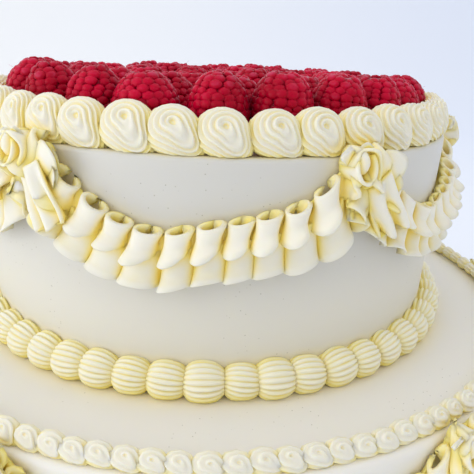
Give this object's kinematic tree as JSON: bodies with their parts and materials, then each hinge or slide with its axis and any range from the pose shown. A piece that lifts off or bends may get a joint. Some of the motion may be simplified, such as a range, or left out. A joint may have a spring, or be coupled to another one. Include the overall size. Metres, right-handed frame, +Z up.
{
  "type": "tiered cake",
  "caption": "Round tiered cake in ivory buttercream, with piped rosette, shell and loop borders, swagged ruffles with knots, and a top covered in upright red berries.",
  "frame": {"origin": "centre of the lower tier's underside, on the surface that the cake stands on", "axes": "+Z up; -Y towards the side that the picture was taken from; +X to that view's right"},
  "size_m": [0.3248, 0.3193, 0.2022],
  "materials": {
    "buttercream": "soft satin ivory buttercream, smoothed flat with a few specks and pits",
    "piping": "piped ivory buttercream, satin, warmer in its creases",
    "raspberry": "deep red drupelets with a soft sheen and a faint pale bloom"
  },
  "bodies": {
    "root": {"base_border_lower": "piping", "base_border_upper": "piping", "cake_tier_lower": "buttercream", "cake_tier_upper": "buttercream", "garland_lower": "piping", "garland_upper": "piping", "raspberry_01": "raspberry", "raspberry_02": "raspberry", "raspberry_03": "raspberry", "raspberry_04": "raspberry", "raspberry_05": "raspberry", "raspberry_06": "raspberry", "raspberry_07": "raspberry", "raspberry_08": "raspberry", "raspberry_09": "raspberry", "raspberry_10": "raspberry", "raspberry_11": "raspberry", "raspberry_12": "raspberry", "raspberry_13": "raspberry", "raspberry_14": "raspberry", "raspberry_15": "raspberry", "raspberry_16": "raspberry", "raspberry_17": "raspberry", "raspberry_18": "raspberry", "raspberry_19": "raspberry", "raspberry_20": "raspberry", "raspberry_21": "raspberry", "raspberry_22": "raspberry", "raspberry_23": "raspberry", "raspberry_24": "raspberry", "raspberry_25": "raspberry", "raspberry_26": "raspberry", "raspberry_27": "raspberry", "raspberry_28": "raspberry", "raspberry_29": "raspberry", "raspberry_30": "raspberry", "raspberry_31": "raspberry", "raspberry_32": "raspberry", "raspberry_33": "raspberry", "raspberry_34": "raspberry", "raspberry_35": "raspberry", "raspberry_36": "raspberry", "raspberry_37": "raspberry", "raspberry_38": "raspberry", "raspberry_39": "raspberry", "raspberry_40": "raspberry", "raspberry_41": "raspberry", "raspberry_42": "raspberry", "raspberry_43": "raspberry", "raspberry_44": "raspberry", "raspberry_45": "raspberry", "raspberry_46": "raspberry", "raspberry_47": "raspberry", "raspberry_48": "raspberry", "raspberry_49": "raspberry", "raspberry_50": "raspberry", "raspberry_51": "raspberry", "raspberry_52": "raspberry", "rim_border_lower": "piping", "rim_border_upper": "piping"}
  },
  "joints": []
}
